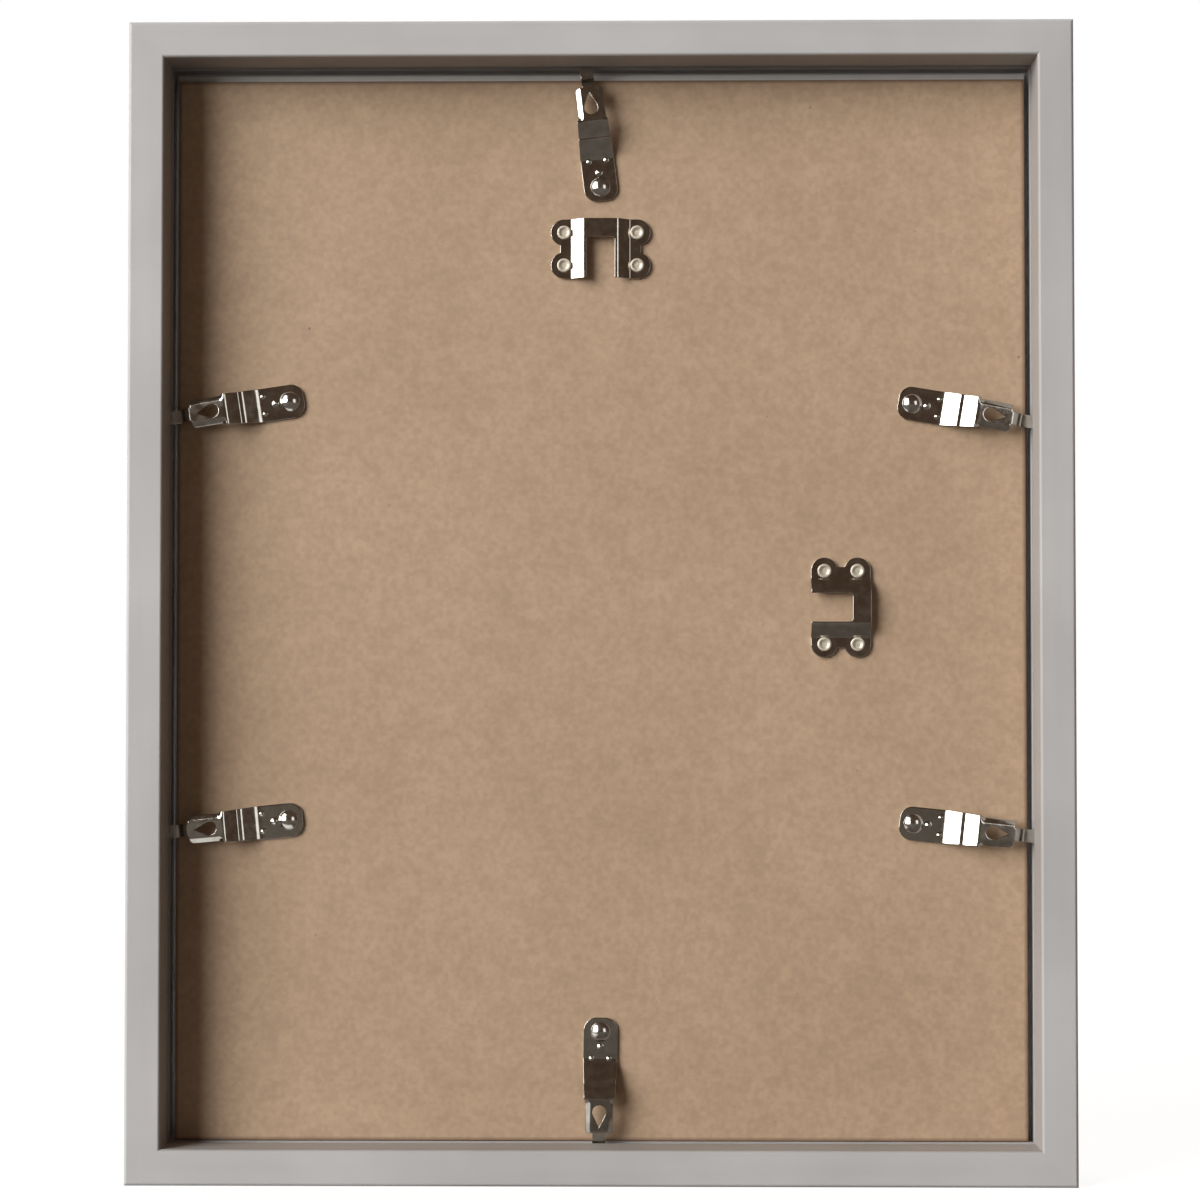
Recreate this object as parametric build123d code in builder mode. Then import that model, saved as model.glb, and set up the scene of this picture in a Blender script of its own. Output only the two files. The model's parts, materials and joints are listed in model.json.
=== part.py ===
"""Wooden picture frame seen from behind: mitred rails, glass, print, and a back panel held by turn clips.

Millimetres. The frame stands upright on its bottom rail: +Z is up, the picture faces -Y and the back
faces +Y. The origin is on the floor, at the middle of the bottom rail. Left, right, upper and lower in
the names are as seen from behind.
"""

import os
from math import acos, asin, cos, radians, sin

from build123d import *

# Picture format, and the frame round it
picture_width = 240.0
picture_height = 300.0
rebate_play = 1.0
rail_wall = 10.0
lip_cover = 6.0
lip_thickness = 4.7
recess_depth = 15.0
outer_edge_round = 1.0
inner_edge_round = 0.8
sight_edge_round = 1.2

# Groove in the rails' inner walls that takes the tongues of the clips
groove_width = 3.0
groove_depth = 5.0
groove_above_panel = 0.2

# Pane and panel that rest on the rebate's bottom, with the print pressed between them at its middle
glass_thickness = 2.0
glass_arris = 0.3
insert_thickness = 0.3
panel_thickness = 3.0
panel_gap = 1.5
panel_end_gap = 1.7
rest_clearance = 0.2

# Wedge nails in the mitres, two at each corner, sunk below the painted back face
nail_leg = 4.0
nail_sheet = 0.6
nail_height = 7.0
nail_sunk = 1.0
nail_insets = (3.0, 6.2)

# Turn clip: lengths run from its rivet towards its tip, heights from the panel
clip_sheet = 0.8
clip_root_width = 9.5
clip_tail = 4.0
clip_root_bend = 8.6
clip_landing = 13.2
clip_landing_run = 0.9
clip_landing_rise = 2.7
clip_peak = 17.8
clip_peak_rise = 5.2
clip_peak_width = 8.6
clip_plate_end_rise = 4.3
clip_plate_width = 5.0
clip_reach = 35.0
clip_tongue_length = 6.9
clip_tongue_fall_run = 2.0
clip_tongue_width = 3.6
clip_tongue_play = 0.2
clip_root_bend_radius = 2.0
clip_landing_radius = 1.0
clip_peak_radius = 1.0
clip_tongue_bend_radius = 1.0
clip_tail_round = 3.6
clip_tip_round = 0.8
flange_run = 1.4
flange_drop = 0.9
flange_start = 0.9
flange_end = 0.5
flange_bend_radius = 0.5
drop_hole_from_peak = 3.8
drop_hole_radius = 1.9
drop_hole_length = 6.3
drop_hole_point_round = 0.4
pip_radius = 0.6
pip_sunk = 0.1
root_pip_from_bend = 1.2
root_pip_spread = 4.9
rivet_pip_from_head = 1.0

# Places of the clips: room left between tip and groove floor, how far the side clips were set below
# the panel's middle, and how far each tip leans from square
side_tip_clearance = 3.3
end_tip_clearance = 0.6
side_clip_spacing = 118.0
left_clip_drop = 0.7
right_clip_drop = 1.6
clip_lean = {
    "top": 7.0,
    "bottom": -1.0,
    "left_upper": 8.5,
    "left_lower": 5.5,
    "right_upper": -9.5,
    "right_lower": -6.0,
}

# Rivets, with their formed tails let into the front of the panel
rivet_radius = 1.5
rivet_fit = 0.05
tail_radius = 2.6
tail_thickness = 0.6
tail_pocket_play = 0.2
clip_rivet_head_radius = 2.8
clip_rivet_head_height = 1.5
clip_rivet_head_rim = 0.25
hanger_rivet_head_radius = 1.95
hanger_rivet_head_height = 0.7
hanger_rivet_head_round = 0.3
hanger_rivet_dish_top = 1.4
hanger_rivet_dish_floor = 0.8
hanger_rivet_dish_depth = 0.5

# Bridge hanger: a raised bar on two riveted feet, open on the side that the nail comes from
hanger_sheet = 0.9
hanger_rise = 2.2
hanger_pitch_long = 20.6
hanger_pitch_short = 9.3
hanger_lobe_radius = 3.75
hanger_waist_half = 11.4
hanger_leg_from_head = 0.35
hanger_leg_shoulder = 0.6
hanger_bend_radius = 1.0
hanger_slot_width = 8.0
hanger_slot_round = 1.0
hanger_bar = 5.2
portrait_hanger_from_edge = 48.0
landscape_hanger_from_edge = 52.0

# Sizes that follow from the ones above
rebate_width = picture_width + 2 * rebate_play
rebate_height = picture_height + 2 * rebate_play
frame_width = rebate_width + 2 * rail_wall
frame_height = rebate_height + 2 * rail_wall
panel_width = rebate_width - 2 * panel_gap
panel_height = rebate_height - 2 * panel_end_gap
panel_drop = panel_end_gap - rest_clearance
picture_drop = rebate_play - rest_clearance
stack_thickness = glass_thickness + insert_thickness + panel_thickness
frame_depth = lip_thickness + stack_thickness + recess_depth
rail_width = rail_wall + lip_cover
clip_plate_end = clip_reach - clip_tongue_length
clip_tongue_bend = clip_plate_end + clip_tongue_fall_run
side_clip_inset = clip_reach - groove_depth + side_tip_clearance
end_clip_inset = clip_reach - groove_depth + end_tip_clearance + panel_drop
hanger_leg_foot = hanger_pitch_long / 2 - hanger_rivet_head_radius - hanger_leg_from_head
hanger_leg_top = hanger_slot_width / 2 + hanger_leg_shoulder

# Directions, and the panel's rear face with x to the right and y up as seen from behind
BACK = Vector(0, 1, 0)
FRONT = Vector(0, -1, 0)
UP = Vector(0, 0, 1)
DOWN = Vector(0, 0, -1)
LEFT = Vector(1, 0, 0)
RIGHT = Vector(-1, 0, 0)
back_y = frame_depth / 2
panel_rear_y = back_y - recess_depth
panel_rear = Plane((0, panel_rear_y, frame_height / 2 - panel_drop), x_dir=RIGHT, z_dir=BACK)
panel_front = panel_rear.offset(-panel_thickness)
insert_rear = Plane(panel_front.origin + UP * panel_drop, x_dir=RIGHT, z_dir=BACK)
glass_middle = insert_rear.origin + FRONT * insert_thickness + DOWN * picture_drop
glass_rear = Plane(glass_middle, x_dir=RIGHT, z_dir=BACK)

os.makedirs("parts", exist_ok=True)


def save(part, name):
    """Label a finished piece and write it as its own file."""
    part.label = name
    export_step(part, f"parts/{name}.step")


def corner_nails(across, upright):
    """Two V-shaped wedge nails at one corner, each with a leg in both rails that meet there."""
    corner = Vector(0, back_y, frame_height / 2)
    corner -= across * (frame_width / 2)
    corner -= upright * (frame_height / 2)
    mitre = Plane(corner + FRONT * nail_sunk, x_dir=across, z_dir=across.cross(upright))
    with BuildPart() as nails:
        with BuildSketch(mitre):
            for inset in nail_insets:
                with BuildLine():
                    near = inset + nail_sheet
                    far = inset + nail_leg
                    Polyline(
                        (inset, inset),
                        (far, inset),
                        (far, near),
                        (near, near),
                        (near, far),
                        (inset, far),
                        close=True,
                    )
                make_face()
        extrude(amount=nail_height, dir=FRONT)
    return nails.part


def rail(inward, length, half_span, nails):
    """One mitred rail: an L-shaped moulding, grooved along its inner wall, with pockets for the nails."""
    along = inward.cross(FRONT)
    middle = Vector(0, back_y, frame_height / 2) - inward * half_span
    section = Plane(middle, x_dir=inward, z_dir=along)
    groove_front = recess_depth - groove_above_panel
    groove_back = groove_front - groove_width
    groove_floor = rail_wall - groove_depth
    lip_rear = recess_depth + stack_thickness
    with BuildPart() as moulding:
        with BuildSketch(section) as profile:
            with BuildLine():
                Polyline(
                    (0, 0),
                    (rail_wall, 0),
                    (rail_wall, groove_back),
                    (groove_floor, groove_back),
                    (groove_floor, groove_front),
                    (rail_wall, groove_front),
                    (rail_wall, lip_rear),
                    (rail_width, lip_rear),
                    (rail_width, frame_depth),
                    (0, frame_depth),
                    close=True,
                )
            make_face()
            fillet(profile.vertices().sort_by_distance((0, 0))[0], outer_edge_round)
            fillet(profile.vertices().sort_by_distance((0, frame_depth))[0], outer_edge_round)
            fillet(profile.vertices().sort_by_distance((rail_wall, 0))[0], inner_edge_round)
            fillet(profile.vertices().sort_by_distance((rail_width, frame_depth))[0], sight_edge_round)
        extrude(amount=length / 2, both=True)
        with BuildSketch(Plane(middle, x_dir=along, z_dir=FRONT)):
            with BuildLine():
                Polyline(
                    (-length / 2, 0),
                    (length / 2, 0),
                    (length / 2 - rail_width, rail_width),
                    (rail_width - length / 2, rail_width),
                    close=True,
                )
            make_face()
        extrude(amount=frame_depth, mode=Mode.INTERSECT)
        for pair in nails:
            add(pair, mode=Mode.SUBTRACT)
    return moulding.part


# Wedge nails and rails
nails = {
    "top_left": corner_nails(RIGHT, DOWN),
    "top_right": corner_nails(LEFT, DOWN),
    "bottom_left": corner_nails(RIGHT, UP),
    "bottom_right": corner_nails(LEFT, UP),
}
for corner, pair in nails.items():
    save(pair, f"corner_nails_{corner}")
rails = {
    "top": (DOWN, frame_width, frame_height / 2),
    "bottom": (UP, frame_width, frame_height / 2),
    "left": (RIGHT, frame_height, frame_width / 2),
    "right": (LEFT, frame_height, frame_width / 2),
}
for side, (inward, length, half_span) in rails.items():
    at_its_ends = [pair for corner, pair in nails.items() if side in corner.split("_")]
    save(rail(inward, length, half_span, at_its_ends), f"rail_{side}")

# Glass with its arrises taken off, and the print behind it
with BuildPart() as glass_pane:
    with BuildSketch(glass_rear):
        Rectangle(picture_width, picture_height)
    extrude(amount=-glass_thickness)
    chamfer(glass_pane.edges(), glass_arris)
save(glass_pane.part, "glass_pane")

with BuildPart() as insert_sheet:
    with BuildSketch(insert_rear):
        Rectangle(picture_width, picture_height)
    extrude(amount=-insert_thickness)
save(insert_sheet.part, "insert_sheet")

# Clip pivots on the panel as (x, y, heading): x to the right and y up from the middle of the panel,
# and the heading from the x axis to the tip, turned by the lean that each clip was left at
side_pivot_x = rebate_width / 2 - side_clip_inset
side_pivot_y = side_clip_spacing / 2
end_pivot_y = rebate_height / 2 - end_clip_inset
clip_places = {
    "top": (0, end_pivot_y, 90 + clip_lean["top"]),
    "bottom": (0, -end_pivot_y, 270 + clip_lean["bottom"]),
    "left_upper": (-side_pivot_x, side_pivot_y - left_clip_drop, 180 + clip_lean["left_upper"]),
    "left_lower": (-side_pivot_x, -side_pivot_y - left_clip_drop, 180 + clip_lean["left_lower"]),
    "right_upper": (side_pivot_x, side_pivot_y - right_clip_drop, clip_lean["right_upper"]),
    "right_lower": (side_pivot_x, -side_pivot_y - right_clip_drop, clip_lean["right_lower"]),
}

# Hangers on the panel as (x, y, heading), the heading pointing to the raised bar
hanger_places = {
    "portrait": (0, panel_height / 2 - portrait_hanger_from_edge, 90),
    "landscape": (panel_width / 2 - landscape_hanger_from_edge, 0, 0),
}


def hardware_plane(x, y, heading):
    """A plane on the panel's rear face at x, y, with its own x axis turned to the heading."""
    turned = panel_rear.location * Location((x, y, 0), (0, 0, heading))
    return Plane(turned)


def hanger_rivet_points(plane):
    """Middles of a hanger's four rivets, in the plane of the panel's rear face."""
    points = []
    for short in (-hanger_pitch_short / 2, hanger_pitch_short / 2):
        for long in (-hanger_pitch_long / 2, hanger_pitch_long / 2):
            points.append(panel_rear.to_local_coords(plane.from_local_coords((short, long, 0))))
    return points


clip_planes = {name: hardware_plane(*place) for name, place in clip_places.items()}
hanger_planes = {name: hardware_plane(*place) for name, place in hanger_places.items()}
rivet_points = [(x, y) for x, y, heading in clip_places.values()]
for plane in hanger_planes.values():
    rivet_points += [(point.X, point.Y) for point in hanger_rivet_points(plane)]

# Back panel, drilled for the rivets, with a pocket for each rivet's tail in its front face
with BuildPart() as back_panel:
    with BuildSketch(panel_rear):
        Rectangle(panel_width, panel_height)
    extrude(amount=-panel_thickness)
    with BuildSketch(panel_rear):
        with Locations(*rivet_points):
            Circle(rivet_radius + rivet_fit)
    extrude(amount=-panel_thickness, mode=Mode.SUBTRACT)
    with BuildSketch(panel_front):
        with Locations(*rivet_points):
            Circle(tail_radius + tail_pocket_play)
    extrude(amount=tail_thickness + tail_pocket_play, mode=Mode.SUBTRACT)
save(back_panel.part, "back_panel")


def turn_clip(plan):
    """A spring-steel turn clip: a root under the rivet, a ramp, a raised channelled plate and a tongue."""
    along = plan.x_dir
    side = Plane(plan.origin, x_dir=along, z_dir=along.cross(BACK))
    tongue_rise = groove_above_panel + groove_width - clip_tongue_play - clip_sheet
    plate = along * (clip_plate_end - clip_peak) + BACK * (clip_plate_end_rise - clip_peak_rise)
    channel_length = plate.length - flange_start - flange_end
    channel = Plane(
        plan.origin + along * clip_peak + BACK * clip_peak_rise + plate.normalized() * flange_start,
        x_dir=BACK.cross(along),
        z_dir=plate,
    )
    half_plate = clip_plate_width / 2
    shoulder = (clip_plate_width - clip_tongue_width) / 2
    hole_middle = clip_peak + drop_hole_from_peak
    hole_point = hole_middle - drop_hole_radius + drop_hole_length
    above_clip = clip_peak_rise + 2 * clip_sheet
    touch = acos(drop_hole_radius / (hole_point - hole_middle))
    touch_x = hole_middle + drop_hole_radius * cos(touch)
    touch_y = drop_hole_radius * sin(touch)
    with BuildPart() as clip:
        with BuildSketch(side):
            with BuildLine():
                spine = FilletPolyline(
                    (-clip_tail, 0),
                    (clip_root_bend, 0),
                    (clip_landing, clip_landing_rise),
                    (clip_landing + clip_landing_run, clip_landing_rise),
                    (clip_peak, clip_peak_rise),
                    (clip_plate_end, clip_plate_end_rise),
                    (clip_tongue_bend, tongue_rise),
                    (clip_reach, tongue_rise),
                    radius=(
                        clip_root_bend_radius,
                        clip_landing_radius,
                        clip_landing_radius,
                        clip_peak_radius,
                        clip_tongue_bend_radius,
                        clip_tongue_bend_radius,
                    ),
                )
                offset(spine, amount=clip_sheet, side=Side.LEFT)
            make_face()
        extrude(amount=clip_root_width / 2, both=True)
        with BuildSketch(plan) as outline:
            with BuildLine():
                Polyline(
                    (-clip_tail, 0),
                    (-clip_tail, clip_root_width / 2),
                    (clip_root_bend, clip_root_width / 2),
                    (clip_peak, clip_peak_width / 2),
                    (clip_peak + flange_start, half_plate),
                    (clip_plate_end - shoulder, half_plate),
                    (clip_plate_end, clip_tongue_width / 2),
                    (clip_reach, clip_tongue_width / 2),
                    (clip_reach, 0),
                )
                mirror(about=Plane.XZ)
            make_face()
            tail_corners = outline.vertices().group_by(Axis.X)[0].filter_by(
                lambda corner: abs(corner.Y) > clip_tail_round / 2
            )
            fillet(tail_corners, clip_tail_round)
            tip_corners = outline.vertices().group_by(Axis.X)[-1].filter_by(
                lambda corner: abs(corner.Y) > clip_tip_round
            )
            fillet(tip_corners, clip_tip_round)
        extrude(amount=above_clip, mode=Mode.INTERSECT)
        with BuildSketch(channel):
            with BuildLine():
                crown = FilletPolyline(
                    (-half_plate - flange_run, -flange_drop),
                    (-half_plate, 0),
                    (half_plate, 0),
                    (half_plate + flange_run, -flange_drop),
                    radius=flange_bend_radius,
                )
                offset(crown, amount=clip_sheet, side=Side.LEFT)
            make_face()
        extrude(amount=channel_length)
        pip_height = clip_sheet - pip_sunk
        pip_x = clip_root_bend - root_pip_from_bend
        rivet_pip_x = clip_rivet_head_radius + rivet_pip_from_head
        with Locations(
            plan * Location((pip_x, root_pip_spread / 2, pip_height)),
            plan * Location((pip_x, -root_pip_spread / 2, pip_height)),
            plan * Location((rivet_pip_x, 0, pip_height)),
        ):
            Sphere(pip_radius)
        with BuildSketch(plan) as holes:
            with BuildLine():
                Line((hole_point, 0), (touch_x, touch_y))
                ThreePointArc(
                    (touch_x, touch_y),
                    (hole_middle - drop_hole_radius, 0),
                    (touch_x, -touch_y),
                )
                Line((touch_x, -touch_y), (hole_point, 0))
            make_face()
            fillet(holes.vertices().sort_by(Axis.X)[-1], drop_hole_point_round)
            Circle(rivet_radius + rivet_fit)
        extrude(amount=above_clip, mode=Mode.SUBTRACT)
    return clip.part


def tail_profile():
    """Lower half of a rivet's profile: the formed tail in its pocket and the shank through the panel."""
    tail_face = tail_pocket_play - panel_thickness
    tail_top = tail_face + tail_thickness
    return [
        (0, tail_face),
        (tail_radius, tail_face),
        (tail_radius, tail_top),
        (rivet_radius, tail_top),
    ]


def clip_rivet(plan):
    """A domed rivet that holds one clip and is the pin that it turns on."""
    rim_top = clip_sheet + clip_rivet_head_rim
    dome_top = clip_sheet + clip_rivet_head_height
    dome_rise = dome_top - rim_top
    dome_radius = (clip_rivet_head_radius**2 + dome_rise**2) / (2 * dome_rise)
    half_sweep = asin(clip_rivet_head_radius / dome_radius) / 2
    mid_radius = dome_radius * sin(half_sweep)
    mid_height = dome_top - dome_radius * (1 - cos(half_sweep))
    with BuildPart() as rivet:
        with BuildSketch(Plane(plan.origin, x_dir=plan.x_dir, z_dir=plan.x_dir.cross(BACK))):
            with BuildLine():
                Polyline(
                    (0, dome_top),
                    *tail_profile(),
                    (rivet_radius, clip_sheet),
                    (clip_rivet_head_radius, clip_sheet),
                    (clip_rivet_head_radius, rim_top),
                )
                ThreePointArc(
                    (clip_rivet_head_radius, rim_top),
                    (mid_radius, mid_height),
                    (0, dome_top),
                )
            make_face()
        revolve(axis=Axis(plan.origin, BACK))
    return rivet.part


def bridge_hanger(plan):
    """A bridge hanger: two feet with two lobes each, sloping legs, and the bar that hangs on the nail."""
    section = Plane(plan.origin, x_dir=plan.y_dir, z_dir=plan.y_dir.cross(BACK))
    half_length = hanger_pitch_short / 2 + hanger_lobe_radius
    half_width = hanger_pitch_long / 2 + hanger_lobe_radius
    slot_end = half_length - hanger_bar
    slot_length = half_length + slot_end + hanger_slot_round
    with BuildPart() as hanger:
        with BuildSketch(section):
            with BuildLine():
                hat = FilletPolyline(
                    (-half_width, 0),
                    (-hanger_leg_foot, 0),
                    (-hanger_leg_top, hanger_rise),
                    (hanger_leg_top, hanger_rise),
                    (hanger_leg_foot, 0),
                    (half_width, 0),
                    radius=hanger_bend_radius,
                )
                offset(hat, amount=hanger_sheet, side=Side.LEFT)
            make_face()
        extrude(amount=half_length, both=True)
        with BuildSketch(plan):
            Rectangle(2 * half_length, hanger_pitch_long)
            Rectangle(hanger_pitch_short, 2 * hanger_waist_half)
            with GridLocations(hanger_pitch_short, hanger_pitch_long, 2, 2):
                Circle(hanger_lobe_radius)
                Circle(rivet_radius + rivet_fit, mode=Mode.SUBTRACT)
            with Locations((slot_end - slot_length / 2, 0)):
                RectangleRounded(slot_length, hanger_slot_width, hanger_slot_round, mode=Mode.SUBTRACT)
        extrude(amount=hanger_rise + 2 * hanger_sheet, mode=Mode.INTERSECT)
    return hanger.part


def hanger_rivets(plan):
    """The four hollow rivets of one hanger, each with a round-edged head and a dished middle."""
    head_top = hanger_sheet + hanger_rivet_head_height
    side_top = head_top - hanger_rivet_head_round
    dish_floor = head_top - hanger_rivet_dish_depth
    edge_shift = hanger_rivet_head_round * (1 - cos(radians(45)))
    with BuildPart() as rivets:
        for point in hanger_rivet_points(plan):
            middle = panel_rear.from_local_coords(point)
            with BuildSketch(Plane(middle, x_dir=LEFT, z_dir=LEFT.cross(BACK))):
                with BuildLine():
                    Polyline(
                        (0, dish_floor),
                        *tail_profile(),
                        (rivet_radius, hanger_sheet),
                        (hanger_rivet_head_radius, hanger_sheet),
                        (hanger_rivet_head_radius, side_top),
                    )
                    ThreePointArc(
                        (hanger_rivet_head_radius, side_top),
                        (hanger_rivet_head_radius - edge_shift, head_top - edge_shift),
                        (hanger_rivet_head_radius - hanger_rivet_head_round, head_top),
                    )
                    Polyline(
                        (hanger_rivet_head_radius - hanger_rivet_head_round, head_top),
                        (hanger_rivet_dish_top, head_top),
                        (hanger_rivet_dish_floor, dish_floor),
                        (0, dish_floor),
                    )
                make_face()
            revolve(axis=Axis(middle, BACK))
    return rivets.part


# Clips with their rivets, and hangers with theirs
for name, plane in clip_planes.items():
    save(turn_clip(plane), f"clip_{name}")
    save(clip_rivet(plane), f"clip_rivet_{name}")
for name, plane in hanger_planes.items():
    save(bridge_hanger(plane), f"hanger_{name}")
    save(hanger_rivets(plane), f"hanger_rivets_{name}")
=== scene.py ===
"""Looks of a grey wooden picture frame seen from behind, built around its solids.

The frame stands on its bottom rail: +Z is up, the back faces +Y, and image left is +X. Shapes are worked out
in millimetres and put into the scene in metres.
"""

import json

import bmesh
import bpy
import numpy as np
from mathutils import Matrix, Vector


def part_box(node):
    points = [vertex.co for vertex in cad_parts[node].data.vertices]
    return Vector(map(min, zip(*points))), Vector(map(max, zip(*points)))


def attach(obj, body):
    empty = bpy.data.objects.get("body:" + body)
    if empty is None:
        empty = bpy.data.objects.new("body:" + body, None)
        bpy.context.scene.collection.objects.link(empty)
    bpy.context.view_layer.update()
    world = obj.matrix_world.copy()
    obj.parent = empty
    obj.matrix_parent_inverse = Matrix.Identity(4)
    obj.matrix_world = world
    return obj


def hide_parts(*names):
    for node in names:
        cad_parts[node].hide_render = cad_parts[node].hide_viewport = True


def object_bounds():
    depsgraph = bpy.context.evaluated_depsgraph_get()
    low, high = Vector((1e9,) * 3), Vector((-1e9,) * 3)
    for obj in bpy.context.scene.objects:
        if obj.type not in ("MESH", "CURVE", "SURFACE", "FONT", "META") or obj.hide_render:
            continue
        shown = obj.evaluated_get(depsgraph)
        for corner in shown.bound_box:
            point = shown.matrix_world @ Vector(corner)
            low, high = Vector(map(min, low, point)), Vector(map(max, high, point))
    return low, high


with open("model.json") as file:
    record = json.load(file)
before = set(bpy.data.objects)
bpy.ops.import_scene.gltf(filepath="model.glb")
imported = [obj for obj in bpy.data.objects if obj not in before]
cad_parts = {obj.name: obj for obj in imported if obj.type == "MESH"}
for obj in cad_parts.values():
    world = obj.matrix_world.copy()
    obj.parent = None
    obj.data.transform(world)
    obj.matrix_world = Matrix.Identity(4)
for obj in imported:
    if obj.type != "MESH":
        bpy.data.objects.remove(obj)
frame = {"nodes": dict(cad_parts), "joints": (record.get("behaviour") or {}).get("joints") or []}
cad_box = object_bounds()


# Wedge nails: V-shaped strips of bright steel driven across the mitres from behind, two at each corner.
# They are sunk below the back face, filled and painted over, so only a cut through the frame shows them.
NAIL_CORNERS = ("top_left", "top_right", "bottom_left", "bottom_right")
NAIL_GREYS = ((0.42, 0.41, 0.40), (0.60, 0.59, 0.57))


def new_finish(name):
    """A node material with one surface shader: returns the material, its node tree and the shader."""
    finish = bpy.data.materials.new(name)
    finish.use_nodes = True
    tree = finish.node_tree
    return finish, tree, tree.nodes["Principled BSDF"]


def mottle(tree, per_metre, detail=2.0, stretch=(1.0, 1.0, 1.0)):
    """Cloudy noise on the piece's own coordinates, with so many blotches to a metre."""
    place = tree.nodes.new("ShaderNodeTexCoord")
    drawn_out = tree.nodes.new("ShaderNodeMapping")
    drawn_out.inputs["Scale"].default_value = stretch
    noise = tree.nodes.new("ShaderNodeTexNoise")
    noise.inputs["Scale"].default_value = per_metre
    noise.inputs["Detail"].default_value = detail
    tree.links.new(place.outputs["Object"], drawn_out.inputs["Vector"])
    tree.links.new(drawn_out.outputs["Vector"], noise.inputs["Vector"])
    return noise.outputs["Fac"]


def shades(tree, factor, dark, light, start=0.35, end=0.65):
    """A colour that goes from dark to light as the factor goes from start to end."""
    ramp = tree.nodes.new("ShaderNodeValToRGB")
    ramp.color_ramp.elements[0].position = start
    ramp.color_ramp.elements[0].color = (*dark, 1.0)
    ramp.color_ramp.elements[1].position = end
    ramp.color_ramp.elements[1].color = (*light, 1.0)
    tree.links.new(factor, ramp.inputs["Fac"])
    return ramp.outputs["Color"]


def spread(tree, factor, least, most, start=0.35, end=0.65):
    """A number that goes from least to most as the factor goes from start to end."""
    scaled = tree.nodes.new("ShaderNodeMapRange")
    for socket, value in zip(("From Min", "From Max", "To Min", "To Max"), (start, end, least, most)):
        scaled.inputs[socket].default_value = value
    tree.links.new(factor, scaled.inputs["Value"])
    return scaled.outputs["Result"]


def nail_steel():
    """Cold-rolled strip: bright, with faint rolling marks drawn out along the nail's height."""
    finish, tree, shader = new_finish("nail_steel")
    marks = mottle(tree, 900.0, stretch=(1.0, 0.1, 1.0))
    shader.inputs["Metallic"].default_value = 1.0
    tree.links.new(shades(tree, marks, *NAIL_GREYS), shader.inputs["Base Color"])
    tree.links.new(spread(tree, marks, 0.3, 0.45), shader.inputs["Roughness"])
    return finish


def dress(node, finish):
    """Gives a solid of the frame its finish."""
    solid = frame["nodes"][node]
    solid.data.materials.clear()
    solid.data.materials.append(finish)


steel_strip = nail_steel()
for corner in NAIL_CORNERS:
    dress(f"corner_nails_{corner}", steel_strip)


# Rails: four lengths of one wooden moulding, rebated for the glass and grooved for the clips' tongues,
# mitred and glued at the corners and sprayed flat grey all over, so that the joints hardly show.
MM = 0.001
MERGE_WITHIN = 0.001
RAIL_WALL = 10.0
RAIL_WIDTH = 16.0
LIP_REAR = 20.3
GROOVE_FLOOR = 5.0
GROOVE_BACK = 11.8
GROOVE_FRONT = 14.8
OUTER_ROUND = 1.0
INNER_ROUND = 0.8
SIGHT_ROUND = 1.2
CUT_ROUND = 0.25
MITRE_EASE = 0.015
MITRE_EASE_RUN = 0.2
RAIL_STATIONS = 25
SHARP_ANGLE = 30.0
WHITE = (1.0, 1.0, 1.0)
PAINT_GREYS = ((0.466, 0.460, 0.456), (0.528, 0.523, 0.520))
PAINT_STREAK = (0.965, 0.962, 0.958)
# Painted shade: the colour that darkens the rails' inner walls, standing in for the shade in the recess.
PAINTED_RECESS_SHADE = (0.70, 0.66, 0.63)
GRAIN_DEPTH = 0.03
low_corner = np.array(cad_box[0]) / MM
high_corner = np.array(cad_box[1]) / MM
frame_width, frame_depth, frame_height = high_corner - low_corner
frame_middle = (low_corner + high_corner) / 2
back_y = high_corner[1]


def rounded_line(corners, radii, closed=False, steps=8):
    """Straight runs through the corners, each turned by an arc of its own radius.

    The arc's middle lies on the corner's bisector at radius over the sine of half the angle between the two
    runs, and the arc meets each run at radius over the tangent of that half angle from the corner.
    """
    corners = np.asarray(corners, float)
    pieces = [] if closed else [corners[:1]]
    turns = range(len(corners)) if closed else range(1, len(corners) - 1)
    for turn, radius in zip(turns, radii):
        corner = corners[turn]
        before = corners[turn - 1] - corner
        after = corners[(turn + 1) % len(corners)] - corner
        before /= np.linalg.norm(before)
        after /= np.linalg.norm(after)
        half = np.arccos(np.clip(before @ after, -1.0, 1.0)) / 2
        bisector = (before + after) / np.linalg.norm(before + after)
        middle = corner + bisector * radius / np.sin(half)
        start = corner + before * radius / np.tan(half) - middle
        end = corner + after * radius / np.tan(half) - middle
        angle = np.arctan2(start[1], start[0])
        sweep = np.arctan2(start[0] * end[1] - start[1] * end[0], start @ end)
        around = angle + sweep * np.linspace(0.0, 1.0, steps + 1)
        pieces.append(middle + radius * np.column_stack([np.cos(around), np.sin(around)]))
    if not closed:
        pieces.append(corners[-1:])
    return np.concatenate(pieces)


def beside(line, distance):
    """The same line moved sideways: each point goes along the normal of its neighbours' chord."""
    chord = np.roll(line, -1, axis=0) - np.roll(line, 1, axis=0)
    normal = np.column_stack([-chord[:, 1], chord[:, 0]]) / np.linalg.norm(chord, axis=1)[:, None]
    return line + normal * distance


def new_piece(name, points, faces, finish):
    """A smooth mesh object from points in millimetres, with doubles merged and faces turned outwards."""
    mesh = bpy.data.meshes.new(name)
    mesh.from_pydata((points * MM).tolist(), [], faces)
    work = bmesh.new()
    work.from_mesh(mesh)
    bmesh.ops.remove_doubles(work, verts=work.verts, dist=MERGE_WITHIN * MM)
    bmesh.ops.recalc_face_normals(work, faces=work.faces)
    work.to_mesh(mesh)
    work.free()
    mesh.shade_smooth()
    mesh.materials.append(finish)
    piece = bpy.data.objects.new(name, mesh)
    bpy.context.scene.collection.objects.link(piece)
    return piece


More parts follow.
